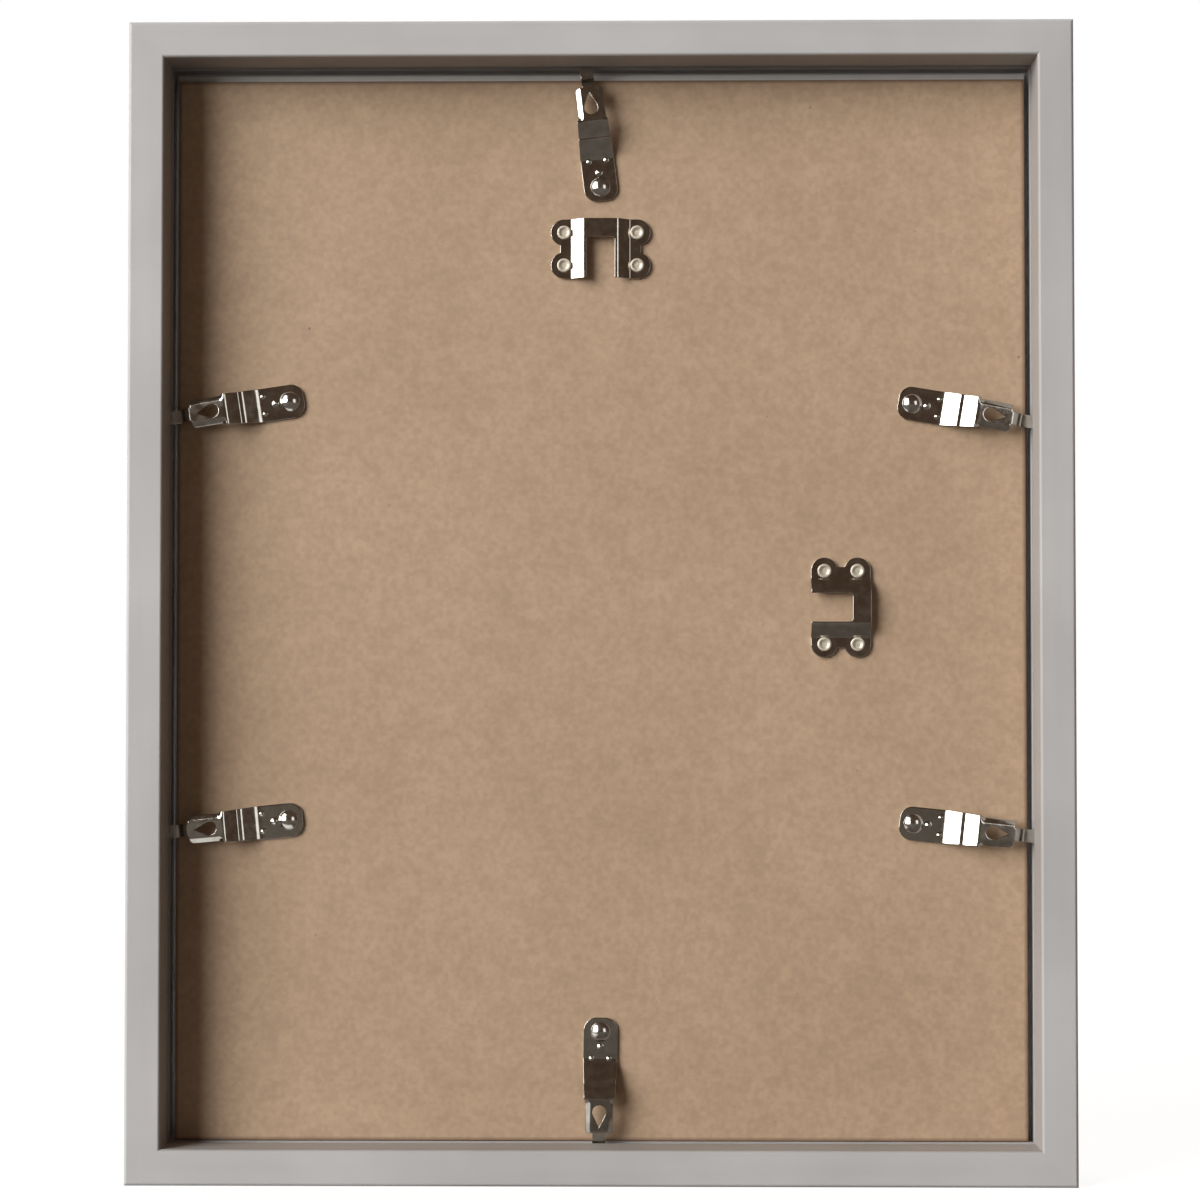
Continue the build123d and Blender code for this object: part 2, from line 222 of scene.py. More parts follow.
def rail_profile():
    """Section of the moulding as (inward from the outer face, forward from the back face), edges eased."""
    corners = (
        (0.0, 0.0),
        (0.0, frame_depth),
        (RAIL_WIDTH, frame_depth),
        (RAIL_WIDTH, LIP_REAR),
        (RAIL_WALL, LIP_REAR),
        (RAIL_WALL, GROOVE_FRONT),
        (GROOVE_FLOOR, GROOVE_FRONT),
        (GROOVE_FLOOR, GROOVE_BACK),
        (RAIL_WALL, GROOVE_BACK),
        (RAIL_WALL, 0.0),
    )
    radii = (OUTER_ROUND, OUTER_ROUND, SIGHT_ROUND) + 6 * (CUT_ROUND,) + (INNER_ROUND,)
    return rounded_line(corners, radii, closed=True)


def ring_faces(rings, corners):
    """Four-cornered faces between rings of points that follow each other, with a face to close each end."""
    number = np.arange(rings * corners).reshape(rings, corners)
    ahead = np.roll(number, -1, axis=1)
    sides = np.stack([number[:-1], ahead[:-1], ahead[1:], number[1:]], -1).reshape(-1, 4)
    return sides.tolist() + [number[0].tolist(), number[-1].tolist()]


def mitred_rail(profile, inward, along, length):
    """The section carried along a rail, each point's run shortened by its distance inward to mitre the ends.

    A point at station t of -1 to 1 lies t times (half the length less its inward distance) from the middle.
    The end stations use the section drawn in a little, so that each mitre has a hairline V.
    """
    drawn_in = beside(profile, -MITRE_EASE)
    ease = MITRE_EASE_RUN / (length / 2)
    inner = np.linspace(ease - 1.0, 1.0 - ease, RAIL_STATIONS)
    stations = np.concatenate([[-1.0], inner, [1.0]])
    sections = np.repeat(profile[None], len(stations), axis=0)
    sections[[0, -1]] = drawn_in
    runs = stations[:, None] * (length / 2 - sections[:, :, 0])
    start = frame_middle - inward * abs(inward @ (high_corner - frame_middle))
    start[1] = back_y
    forward = np.array([0.0, -1.0, 0.0])
    points = (
        start
        + sections[:, :, :1] * inward
        + sections[:, :, 1:] * forward
        + runs[:, :, None] * along
    )
    return points.reshape(-1, 3), ring_faces(*runs.shape)


def layered(tree, under, over):
    """Two colours multiplied, so that the second darkens the first where it is less than white."""
    product = tree.nodes.new("ShaderNodeMix")
    product.data_type = "RGBA"
    product.blend_type = "MULTIPLY"
    product.inputs["Factor"].default_value = 1.0
    tree.links.new(under, product.inputs["A"])
    tree.links.new(over, product.inputs["B"])
    return product.outputs["Result"]


def relief(tree, shader, factor, depth):
    """Small relief in the surface, depth millimetres from the factor's lowest to its highest."""
    bump = tree.nodes.new("ShaderNodeBump")
    bump.inputs["Distance"].default_value = depth * MM
    tree.links.new(factor, bump.inputs["Height"])
    tree.links.new(bump.outputs["Normal"], shader.inputs["Normal"])


def multiplied(tree, first, second):
    """The product of two numbers."""
    product = tree.nodes.new("ShaderNodeMath")
    product.operation = "MULTIPLY"
    tree.links.new(first, product.inputs[0])
    tree.links.new(second, product.inputs[1])
    return product.outputs["Value"]


def within(tree, middle, half_width, half_height, fade):
    """1 inside an upright rectangle, falling to 0 over a fade round it, by place alone, in millimetres."""
    place = tree.nodes.new("ShaderNodeTexCoord")
    centred = tree.nodes.new("ShaderNodeVectorMath")
    centred.operation = "SUBTRACT"
    centred.inputs[1].default_value = middle * MM
    tree.links.new(place.outputs["Object"], centred.inputs[0])
    sizes = tree.nodes.new("ShaderNodeVectorMath")
    sizes.operation = "ABSOLUTE"
    tree.links.new(centred.outputs["Vector"], sizes.inputs[0])
    parts = tree.nodes.new("ShaderNodeSeparateXYZ")
    tree.links.new(sizes.outputs["Vector"], parts.inputs["Vector"])
    across = spread(tree, parts.outputs["X"], 1.0, 0.0, half_width * MM, (half_width + fade) * MM)
    upright = spread(tree, parts.outputs["Z"], 1.0, 0.0, half_height * MM, (half_height + fade) * MM)
    return multiplied(tree, across, upright)


def in_recess(tree):
    """1 on the rails' inner walls, and 0 on their outer, back and front faces."""
    place = tree.nodes.new("ShaderNodeTexCoord")
    parts = tree.nodes.new("ShaderNodeSeparateXYZ")
    tree.links.new(place.outputs["Object"], parts.inputs["Vector"])
    lip_rear_y = back_y - LIP_REAR
    behind_lip = spread(tree, parts.outputs["Y"], 0.0, 1.0, lip_rear_y * MM, (lip_rear_y + INNER_ROUND) * MM)
    half_width = frame_width / 2 - RAIL_WALL
    half_height = frame_height / 2 - RAIL_WALL
    return multiplied(tree, behind_lip, within(tree, frame_middle, half_width, half_height, INNER_ROUND))


def frame_paint(name, stretch):
    """Flat grey sprayed paint: faint clouds, a soft orange peel, a trace of grain, and painted shade on the
    recess walls.
    """
    finish, tree, shader = new_finish(name)
    clouds = shades(tree, mottle(tree, 22.0, detail=3.0), *PAINT_GREYS)
    grain = mottle(tree, 260.0, detail=3.0, stretch=stretch)
    streaks = shades(tree, grain, PAINT_STREAK, WHITE)
    # Painted shade: the inner walls of the recess are darkened in colour where shade falls.
    thin = shades(tree, in_recess(tree), WHITE, PAINTED_RECESS_SHADE, 0.0, 1.0)
    tree.links.new(layered(tree, layered(tree, clouds, streaks), thin), shader.inputs["Base Color"])
    peel = mottle(tree, 1400.0, detail=1.0)
    tree.links.new(spread(tree, peel, 0.48, 0.60), shader.inputs["Roughness"])
    relief(tree, shader, grain, GRAIN_DEPTH)
    return finish


RAILS = {
    "top": ((0.0, 0.0, -1.0), (1.0, 0.0, 0.0), frame_width),
    "bottom": ((0.0, 0.0, 1.0), (1.0, 0.0, 0.0), frame_width),
    "left": ((-1.0, 0.0, 0.0), (0.0, 0.0, 1.0), frame_height),
    "right": ((1.0, 0.0, 0.0), (0.0, 0.0, 1.0), frame_height),
}
level_paint = frame_paint("frame_paint_level", (0.04, 1.0, 1.0))
upright_paint = frame_paint("frame_paint_upright", (1.0, 1.0, 0.04))
moulding = rail_profile()
for side, (inward, along, length) in RAILS.items():
    points, faces = mitred_rail(moulding, np.array(inward), np.array(along), length)
    rail = new_piece(f"moulding_{side}", points, faces, level_paint if along[0] else upright_paint)
    rail.data.set_sharp_from_angle(angle=np.radians(SHARP_ANGLE))
    even_shading = rail.modifiers.new("even_shading", "WEIGHTED_NORMAL")
    even_shading.keep_sharp = True
    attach(rail, "frame")
    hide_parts(f"rail_{side}")


# Glass: a cut pane of clear float glass with its arrises taken off, lying in the rebate against the lip.
# Nothing fixes it but the print and the panel behind it.
GLASS_ROOM = 0.05
GLASS_ARRIS = 0.4
GLASS_TINT = (0.96, 0.985, 0.975)
GLASS_INDEX = 1.52


def eased_slab(low, high, arris):
    """A flat sheet square to Y with its arrises taken off, as four rings of four corners.

    The first and last ring are the two faces, drawn in by the arris, and the two between them are the full
    outline, one arris in from each face.
    """
    signs = np.array([(-1, -1), (1, -1), (1, 1), (-1, 1)])
    insets = arris * np.array([1.0, 0.0, 0.0, 1.0])[:, None]
    depths = np.array([low[1], low[1] + arris, high[1] - arris, high[1]])
    middle = (low + high) / 2
    half = (high - low) / 2
    x = middle[0] + signs[:, 0] * (half[0] - insets)
    z = middle[2] + signs[:, 1] * (half[2] - insets)
    y = np.repeat(depths[:, None], len(signs), axis=1)
    return np.stack([x, y, z], -1).reshape(-1, 3), ring_faces(*x.shape)


def either(tree, first, second):
    """The larger of two numbers."""
    larger = tree.nodes.new("ShaderNodeMath")
    larger.operation = "MAXIMUM"
    tree.links.new(first, larger.inputs[0])
    tree.links.new(second, larger.inputs[1])
    return larger.outputs["Value"]


def clear_glass():
    """Clear glass that lets light through to the print, with the faintest haze where it was wiped."""
    finish, tree, shader = new_finish("clear_glass")
    shader.inputs["Base Color"].default_value = (*GLASS_TINT, 1.0)
    shader.inputs["IOR"].default_value = GLASS_INDEX
    shader.inputs["Transmission Weight"].default_value = 1.0
    wiped = mottle(tree, 30.0, detail=4.0, stretch=(1.0, 1.0, 0.3))
    tree.links.new(spread(tree, wiped, 0.0, 0.03), shader.inputs["Roughness"])
    rays = tree.nodes.new("ShaderNodeLightPath")
    clear = tree.nodes.new("ShaderNodeBsdfTransparent")
    choice = tree.nodes.new("ShaderNodeMixShader")
    straight = either(tree, rays.outputs["Is Shadow Ray"], rays.outputs["Is Diffuse Ray"])
    tree.links.new(straight, choice.inputs["Fac"])
    tree.links.new(shader.outputs["BSDF"], choice.inputs[1])
    tree.links.new(clear.outputs["BSDF"], choice.inputs[2])
    tree.links.new(choice.outputs["Shader"], tree.nodes["Material Output"].inputs["Surface"])
    return finish


low, high = (np.array(corner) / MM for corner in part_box("glass_pane"))
points, faces = eased_slab(low + GLASS_ROOM, high - GLASS_ROOM, GLASS_ARRIS)
pane = new_piece("clear_pane", points, faces, clear_glass())
pane.data.set_sharp_from_angle(angle=np.radians(SHARP_ANGLE))
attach(pane, "frame")
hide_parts("glass_pane")


# Print sheet: the plain paper that lies between glass and panel until a picture takes its place.
# Heavy uncoated stock, cut to the picture's size and held only by being pressed flat.
PAPER_WHITES = ((0.755, 0.745, 0.715), (0.815, 0.805, 0.775))
PAPER_TOOTH = 0.02


def print_paper():
    """Off-white uncoated paper: soft fibre clouds and a fine tooth."""
    finish, tree, shader = new_finish("print_paper")
    clouds = mottle(tree, 160.0, detail=5.0)
    tree.links.new(shades(tree, clouds, *PAPER_WHITES), shader.inputs["Base Color"])
    tooth = mottle(tree, 2200.0, detail=2.0)
    tree.links.new(spread(tree, tooth, 0.8, 0.95), shader.inputs["Roughness"])
    relief(tree, shader, tooth, PAPER_TOOTH)
    return finish


dress("insert_sheet", print_paper())


# Back panel: 3 mm brown hardboard, sawn to size and drilled for the rivets of its clips and hangers.
# It lies on the print and rests on the bottom rail, and the six clips hold it in.
BOARD_RIM = 1.1
BOARD_TANS = ((0.451, 0.315, 0.204), (0.494, 0.349, 0.230))
BOARD_FIBRES = ((0.90, 0.885, 0.87), (1.04, 1.04, 1.04))
BOARD_BLOTCHES = ((0.95, 0.945, 0.94), (1.02, 1.02, 1.02))
BOARD_SPECK = (0.62, 0.56, 0.52)
SPECK_RANGE = (0.87, 0.91)
DARKER_EDGE_TONE = (0.40, 0.32, 0.28)
FIBRE_DEPTH = 0.06


def hardboard():
    """Pressed wood fibre: tan with wide clouds, fine fibres, a few dark specks and a rim darker towards the
    edges.
    """
    finish, tree, shader = new_finish("hardboard")
    clouds = shades(tree, mottle(tree, 14.0, detail=4.0), *BOARD_TANS)
    fibre = mottle(tree, 620.0, detail=4.0)
    fibres = shades(tree, fibre, *BOARD_FIBRES)
    blotch = shades(tree, mottle(tree, 170.0, detail=3.0), *BOARD_BLOTCHES)
    speck = shades(tree, mottle(tree, 480.0, detail=0.0), WHITE, BOARD_SPECK, *SPECK_RANGE)
    low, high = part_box("back_panel")
    middle = np.array((low + high) / 2) / MM
    half = np.array(high - low) / 2 / MM - BOARD_RIM
    # The board's colour darkens over the last millimetre or so towards its edges.
    inner = within(tree, middle, half[0], half[2], BOARD_RIM)
    rim = shades(tree, inner, DARKER_EDGE_TONE, WHITE, 0.0, 1.0)
    tinted = layered(tree, layered(tree, layered(tree, layered(tree, clouds, blotch), fibres), speck), rim)
    tree.links.new(tinted, shader.inputs["Base Color"])
    tree.links.new(spread(tree, fibre, 0.62, 0.8), shader.inputs["Roughness"])
    relief(tree, shader, fibre, FIBRE_DEPTH)
    return finish


dress("back_panel", hardboard())


# Turn clips: six pressings of dark plated spring steel. Each turns on its rivet, climbs a creased ramp to a
# raised plate with turned-down sides and a drop-shaped hole, and ends in a tongue that enters the groove.
SHEET = 0.8
SHEET_EDGE = 0.1
EDGE_BENDS = (22.5, 45.0, 67.5, 90.0)
CELL = 0.22
NUDGE = 0.01
EDGE_PASSES = 8
EDGE_SHARE = 0.7
LEAST_STEEPNESS = 0.25
LINE_SPARE = 1.0
CLIP_TAIL = 4.0
CLIP_TAIL_ROUND = 3.6
CLIP_ROOT_BEND = 8.6
CLIP_LANDING = 13.2
CLIP_LANDING_RUN = 0.9
CLIP_LANDING_RISE = 2.7
CLIP_PEAK = 17.8
CLIP_PEAK_RISE = 5.2
CLIP_PEAK_LAP = 0.7
CLIP_PLATE_END = 28.1
CLIP_PLATE_END_RISE = 4.3
CLIP_TONGUE_BEND = 30.1
CLIP_TONGUE_RISE = 2.2
CLIP_REACH = 35.0
CLIP_BEND_RADII = (5.5, 1.6, 1.6, 1.0, 1.0, 1.0)
CLIP_ROOT_HALF = 4.75
CLIP_PEAK_HALF = 4.3
CLIP_PLATE_HALF = 2.5
CLIP_FLANGE_RUN = 1.4
CLIP_FLANGE_SLOPE = 0.64
CLIP_FLANGE_BEND = 0.2
CLIP_FLANGE_START = (17.5, 19.3)
CLIP_FLANGE_END = 27.6
CLIP_FLANGE_ROUND = 0.9
CLIP_TONGUE_HALF = 1.8
CLIP_TIP_ROUND = 0.8
DROP_MIDDLE = 21.6
DROP_RADIUS = 1.9
DROP_POINT = 26.0
RIVET_HOLE_RADIUS = 1.55
PIP_HEIGHT = 0.5
PIPS = ((7.4, 2.45, 0.7), (7.4, -2.45, 0.7), (4.1, 0.0, 1.0))
CLIP_HEADING = {
    "clip_top": 97.0,
    "clip_bottom": 269.0,
    "clip_left_upper": 188.5,
    "clip_left_lower": 185.5,
    "clip_right_upper": -9.5,
    "clip_right_lower": -6.0,
}
PLATING_GREYS = ((0.44, 0.42, 0.37), (0.56, 0.54, 0.49))
DRAWING_MARKS = 0.004
panel_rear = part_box("back_panel")[1].y / MM


def disc(x, y, middle_x, middle_y, radius):
    """How far inside a circle: the radius less the distance from its middle."""
    return radius - np.hypot(x - middle_x, y - middle_y)


def block(x, y, near_x, far_x, half_y, corner):
    """How far inside a round-cornered rectangle that is even about the x axis."""
    out_x = np.abs(x - (near_x + far_x) / 2) - (far_x - near_x) / 2 + corner
    out_y = np.abs(y) - half_y + corner
    outside = np.hypot(np.maximum(out_x, 0.0), np.maximum(out_y, 0.0))
    return corner - outside - np.minimum(np.maximum(out_x, out_y), 0.0)


def cut_sheet(inside, top, under, low, high):
    """A bent sheet cut to an outline, as points and four-cornered faces in the piece's own plan.

    inside(x, y) says how far a point lies inside the outline, and top and under give the heights of the two
    faces. Grid squares with their middles inside are kept, and their outer corners are drawn along the
    steepest way onto the line that lies one edge radius inside. A quarter round, a wall and a second quarter
    round then go from the top face over the sheet's edge to the under face.
    """
    x, y = np.meshgrid(
        np.arange(low[0], high[0] + CELL, CELL), np.arange(low[1], high[1] + CELL, CELL), indexing="ij"
    )
    number = np.arange(x.size).reshape(x.shape)
    corners = np.stack([number[:-1, :-1], number[1:, :-1], number[1:, 1:], number[:-1, 1:]], -1)
    middles = inside(x[:-1, :-1] + CELL / 2, y[:-1, :-1] + CELL / 2)
    squares = corners[middles > SHEET_EDGE]
    used, squares = np.unique(squares, return_inverse=True)
    squares = squares.reshape(-1, 4)
    x, y = x.ravel()[used], y.ravel()[used]
    edges = np.stack([squares, np.roll(squares, -1, axis=1)], -1).reshape(-1, 2)
    forth = edges[:, 0] * len(used) + edges[:, 1]
    back = edges[:, 1] * len(used) + edges[:, 0]
    rim = edges[~np.isin(forth, back)]
    rim_points, rim = np.unique(rim, return_inverse=True)
    rim = rim.reshape(-1, 2)
    rim_x, rim_y = x[rim_points], y[rim_points]
    for _ in range(EDGE_PASSES):
        slope_x = (inside(rim_x + NUDGE, rim_y) - inside(rim_x - NUDGE, rim_y)) / (2 * NUDGE)
        slope_y = (inside(rim_x, rim_y + NUDGE) - inside(rim_x, rim_y - NUDGE)) / (2 * NUDGE)
        steepness = np.maximum(slope_x**2 + slope_y**2, LEAST_STEEPNESS)
        missing = SHEET_EDGE - inside(rim_x, rim_y)
        rim_x = rim_x + EDGE_SHARE * missing * slope_x / steepness
        rim_y = rim_y + EDGE_SHARE * missing * slope_y / steepness
    x[rim_points], y[rim_points] = rim_x, rim_y
    out_x, out_y = -slope_x / np.sqrt(steepness), -slope_y / np.sqrt(steepness)
    bends = np.radians(EDGE_BENDS)[:, None]
    over_x = rim_x + SHEET_EDGE * np.sin(bends) * out_x
    over_y = rim_y + SHEET_EDGE * np.sin(bends) * out_y
    dip = SHEET_EDGE * (1.0 - np.cos(bends))
    upper = np.stack([over_x, over_y, top(over_x, over_y) - dip], -1)
    lower = np.stack([over_x, over_y, under(over_x, over_y) + dip], -1)[::-1]
    points = np.concatenate(
        [
            np.column_stack([x, y, top(x, y)]),
            np.column_stack([x, y, under(x, y)]),
            upper.reshape(-1, 3),
            lower.reshape(-1, 3),
        ]
    )
    strips = 2 * len(used) + np.arange(2 * over_x.size).reshape(2 * len(EDGE_BENDS), -1)
    rows = np.concatenate([[rim_points], strips, [rim_points + len(used)]])
    start, end = rim[:, 0], rim[:, 1]
    walls = np.stack([rows[:-1, start], rows[1:, start], rows[1:, end], rows[:-1, end]], -1)
    faces = np.concatenate([squares, squares[:, ::-1] + len(used), walls.reshape(-1, 4)])
    return points, faces.tolist()


def smooth_step(value, start, end):
    """0 before start, 1 after end, and three t squared less two t cubed between them."""
    t = np.clip((value - start) / (end - start), 0.0, 1.0)
    return t * t * (3.0 - 2.0 * t)


def clip_outline(x, y):
    """How far inside the clip's plan: root, tapering ramp, plate and tongue together, less its two holes."""
    taper = np.interp(x, (CLIP_ROOT_BEND, CLIP_PEAK), (CLIP_ROOT_HALF, CLIP_PEAK_HALF))
    ramp = np.minimum(taper - np.abs(y), np.minimum(x, CLIP_PEAK + CLIP_PEAK_LAP - x))
    root = block(x, y, -CLIP_TAIL, CLIP_PEAK - CLIP_TAIL_ROUND, CLIP_ROOT_HALF, CLIP_TAIL_ROUND)
    root = np.minimum(root, taper - np.abs(y))
    plate_half = CLIP_PLATE_HALF + CLIP_FLANGE_RUN
    plate = block(x, y, CLIP_ROOT_BEND, CLIP_FLANGE_END, plate_half, CLIP_FLANGE_ROUND)
    tongue = block(x, y, CLIP_PEAK, CLIP_REACH, CLIP_TONGUE_HALF, CLIP_TIP_ROUND)
    whole = np.maximum(np.maximum(root, ramp), np.maximum(plate, tongue))
    lean = DROP_RADIUS / (DROP_POINT - DROP_MIDDLE)
    flank = (DROP_POINT - x) * lean - np.abs(y) * np.sqrt(1.0 - lean**2)
    wedge = np.minimum(flank, x - DROP_MIDDLE - DROP_RADIUS * lean)
    drop = np.maximum(disc(x, y, DROP_MIDDLE, 0.0, DROP_RADIUS), wedge)
    return np.minimum(whole, -np.maximum(drop, disc(x, y, 0.0, 0.0, RIVET_HOLE_RADIUS)))


clip_line = rounded_line(
    (
        (-CLIP_TAIL - LINE_SPARE, 0.0),
        (CLIP_ROOT_BEND, 0.0),
        (CLIP_LANDING, CLIP_LANDING_RISE),
        (CLIP_LANDING + CLIP_LANDING_RUN, CLIP_LANDING_RISE),
        (CLIP_PEAK, CLIP_PEAK_RISE),
        (CLIP_PLATE_END, CLIP_PLATE_END_RISE),
        (CLIP_TONGUE_BEND, CLIP_TONGUE_RISE),
        (CLIP_REACH + LINE_SPARE, CLIP_TONGUE_RISE),
    ),
    CLIP_BEND_RADII,
)
clip_upper_line = beside(clip_line, SHEET)
clip_upper_line[[0, -1]] = clip_line[[0, -1]] + (0.0, SHEET)


def clip_sides(x, y):
    """How far the plate's sides are turned down: a slope beyond the plate's flat, started by a soft bend."""
    beyond = np.abs(y) - CLIP_PLATE_HALF
    turned = CLIP_FLANGE_SLOPE * (beyond + np.hypot(beyond, CLIP_FLANGE_BEND)) / 2
    return turned * smooth_step(x, *CLIP_FLANGE_START)


def clip_pips(x, y):
    """Round pips pressed up from beneath: the height times the square of 1 less (r / radius) squared."""
    total = np.zeros_like(x)
    for pip_x, pip_y, radius in PIPS:
        total += np.maximum(0.0, 1.0 - ((x - pip_x) ** 2 + (y - pip_y) ** 2) / radius**2) ** 2
    return PIP_HEIGHT * total


def clip_top(x, y):
    """Upper face: the bent line's upper side along x, less the turned-down sides, with the pips on it."""
    return np.interp(x, clip_upper_line[:, 0], clip_upper_line[:, 1]) - clip_sides(x, y) + clip_pips(x, y)


def clip_under(x, y):
    """Under face: the bent line itself along x, less the turned-down sides."""
    return np.interp(x, clip_line[:, 0], clip_line[:, 1]) - clip_sides(x, y)


def on_panel(points, x, z, heading):
    """Stands a piece on the panel's rear face at x, z, its x axis turned to the heading seen from behind."""
    turn = np.radians(heading)
    right = points[:, 0] * np.cos(turn) - points[:, 1] * np.sin(turn)
    up = points[:, 0] * np.sin(turn) + points[:, 1] * np.cos(turn)
    return np.column_stack([x - right, panel_rear + points[:, 2], z + up])


def plated_steel():
    """Dark bright plating on pressed steel: slightly warm, with thin clouds and the finest drawing marks."""
    finish, tree, shader = new_finish("plated_steel")
    shader.inputs["Metallic"].default_value = 1.0
    clouds = mottle(tree, 420.0, detail=3.0)
    tree.links.new(shades(tree, clouds, *PLATING_GREYS), shader.inputs["Base Color"])
    tree.links.new(spread(tree, clouds, 0.10, 0.16), shader.inputs["Roughness"])
    relief(tree, shader, mottle(tree, 2600.0, detail=1.0), DRAWING_MARKS)
    return finish


plating = plated_steel()
clip_points, clip_faces = cut_sheet(
    clip_outline,
    clip_top,
    clip_under,
    (-CLIP_TAIL - CELL, -CLIP_ROOT_HALF - CELL / 2),
    (CLIP_REACH, CLIP_ROOT_HALF),
)
for joint in frame["joints"]:
    pivot = np.array(joint["pos_m"]) / MM
    body = joint["child"]
    placed = on_panel(clip_points, pivot[0], pivot[2], CLIP_HEADING[body])
    clip = new_piece(f"turn_{body}", placed, clip_faces, plating)
    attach(clip, body)
    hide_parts(body)


# Clip rivets: six domed steel rivets, each the pin that its clip turns on.
# The shank goes through clip and panel, and its tail is formed over in a pocket in the panel's front.
RIVET_SHANK = 1.5
RIVET_TAIL = 2.6
RIVET_TAIL_FACE = -2.8
RIVET_TAIL_TOP = -2.2
RIVET_TAIL_EASE = 0.15
RIVET_NECK_EASE = 0.1
DOME_RADIUS = 2.8
DOME_RIM = 0.25
DOME_HEIGHT = 1.5
DOME_EASE = 0.1
DOME_RINGS = 25
EASE_STEPS = 3
TURNED_SIDES = 72
RIVET_GREYS = ((0.52, 0.50, 0.46), (0.64, 0.62, 0.58))
SETTING_MARKS = 0.006


def turned(profile):
    """A profile of (radius, height) points turned about the height axis, closed where it meets the axis."""
    around = np.linspace(0.0, 2 * np.pi, TURNED_SIDES, endpoint=False)[:, None]
    radius = profile[None, :, 0]
    height = np.repeat(profile[None, :, 1], TURNED_SIDES, axis=0)
    points = np.stack([radius * np.cos(around), radius * np.sin(around), height], -1)
    number = np.arange(points.shape[0] * points.shape[1]).reshape(points.shape[:2])
    ahead = np.roll(number, -1, axis=0)
    faces = np.stack([number[:, :-1], number[:, 1:], ahead[:, 1:], ahead[:, :-1]], -1)
    return points.reshape(-1, 3), faces.reshape(-1, 4).tolist()


def shank_profile(head_under):
    """Lower part of a rivet's profile from its tail's face up to the seat under its head."""
    corners = (
        (0.0, RIVET_TAIL_FACE),
        (RIVET_TAIL, RIVET_TAIL_FACE),
        (RIVET_TAIL, RIVET_TAIL_TOP),
        (RIVET_SHANK, RIVET_TAIL_TOP),
        (RIVET_SHANK, head_under),
    )
    radii = (RIVET_TAIL_EASE, RIVET_TAIL_EASE, RIVET_NECK_EASE)
    return rounded_line(corners, radii, steps=EASE_STEPS)


def dome_profile():
    """Profile of a clip rivet: shank, a short upright rim with eased edges, and a dome on one true circle."""
    rim_top = SHEET + DOME_RIM
    rise = DOME_HEIGHT - DOME_RIM
    circle = (DOME_RADIUS**2 + rise**2) / (2 * rise)
    angle = np.linspace(np.arcsin(DOME_RADIUS / circle), 0.0, DOME_RINGS)
    dome = np.column_stack([circle * np.sin(angle), SHEET + DOME_HEIGHT - circle * (1.0 - np.cos(angle))])
    corners = ((RIVET_SHANK, SHEET), (DOME_RADIUS, SHEET), (DOME_RADIUS, rim_top))
    seat = rounded_line(corners, (DOME_EASE,), steps=EASE_STEPS)
    return np.concatenate([shank_profile(SHEET)[:-1], seat[:-1], dome])


def rivet_steel():
    """Bright plated rivet wire: lighter than the clips, with faint marks of the setting tool."""
    finish, tree, shader = new_finish("rivet_steel")
    shader.inputs["Metallic"].default_value = 1.0
    clouds = mottle(tree, 700.0, detail=2.0)
    tree.links.new(shades(tree, clouds, *RIVET_GREYS), shader.inputs["Base Color"])
    tree.links.new(spread(tree, clouds, 0.12, 0.2), shader.inputs["Roughness"])
    relief(tree, shader, clouds, SETTING_MARKS)
    return finish


rivet_plating = rivet_steel()
dome_points, dome_faces = turned(dome_profile())
for body in CLIP_HEADING:
    node = body.replace("clip_", "clip_rivet_")
    low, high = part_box(node)
    middle = (low + high) / 2 / MM
    placed = on_panel(dome_points, middle.x, middle.z, 0.0)
    rivet = new_piece(f"domed_{node}", placed, dome_faces, rivet_plating)
    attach(rivet, "frame")
    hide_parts(node)


# Bridge hangers: two pressings of the same dark plated steel, one for upright and one for landscape hanging.
# Each is a raised bar on two legs whose feet have two round lobes, riveted to the panel.
HANGER_SHEET = 0.9
HANGER_RISE = 2.2
HANGER_PITCH_LONG = 20.6
HANGER_PITCH_SHORT = 9.3
HANGER_LOBE = 3.75
HANGER_WAIST_HALF = 11.4
HANGER_LEG_FOOT = 8.0
HANGER_LEG_TOP = 4.6
HANGER_BEND = 1.0
HANGER_SLOT_HALF = 4.0
HANGER_SLOT_ROUND = 1.0
HANGER_BAR = 5.2
HANGER_HALF_LENGTH = HANGER_PITCH_SHORT / 2 + HANGER_LOBE
HANGER_HALF_WIDTH = HANGER_PITCH_LONG / 2 + HANGER_LOBE
HANGER_HEADING = {"portrait": 90.0, "landscape": 0.0}

hanger_line = rounded_line(
    (
        (-HANGER_HALF_WIDTH - LINE_SPARE, 0.0),
        (-HANGER_LEG_FOOT, 0.0),
        (-HANGER_LEG_TOP, HANGER_RISE),
        (HANGER_LEG_TOP, HANGER_RISE),
        (HANGER_LEG_FOOT, 0.0),
        (HANGER_HALF_WIDTH + LINE_SPARE, 0.0),
    ),
    4 * (HANGER_BEND,),
)
hanger_upper_line = beside(hanger_line, HANGER_SHEET)
hanger_upper_line[[0, -1]] = hanger_line[[0, -1]] + (0.0, HANGER_SHEET)


def hanger_outline(x, y):
    """How far inside the hanger's plan: feet, waists and lobes together, less slot and rivet holes."""
    across_lobes = np.abs(x) - HANGER_PITCH_SHORT / 2
    along_lobes = np.abs(y) - HANGER_PITCH_LONG / 2
    lobes = HANGER_LOBE - np.hypot(across_lobes, along_lobes)
    legs = block(x, y, -HANGER_HALF_LENGTH, HANGER_HALF_LENGTH, HANGER_PITCH_LONG / 2, 0.0)
    waist = block(x, y, -HANGER_PITCH_SHORT / 2, HANGER_PITCH_SHORT / 2, HANGER_WAIST_HALF, 0.0)
    whole = np.maximum(lobes, np.maximum(legs, waist))
    slot_end = HANGER_HALF_LENGTH - HANGER_BAR
    slot = block(x, y, -3 * HANGER_HALF_LENGTH, slot_end, HANGER_SLOT_HALF, HANGER_SLOT_ROUND)
    holes = RIVET_HOLE_RADIUS - np.hypot(across_lobes, along_lobes)
    return np.minimum(whole, -np.maximum(slot, holes))


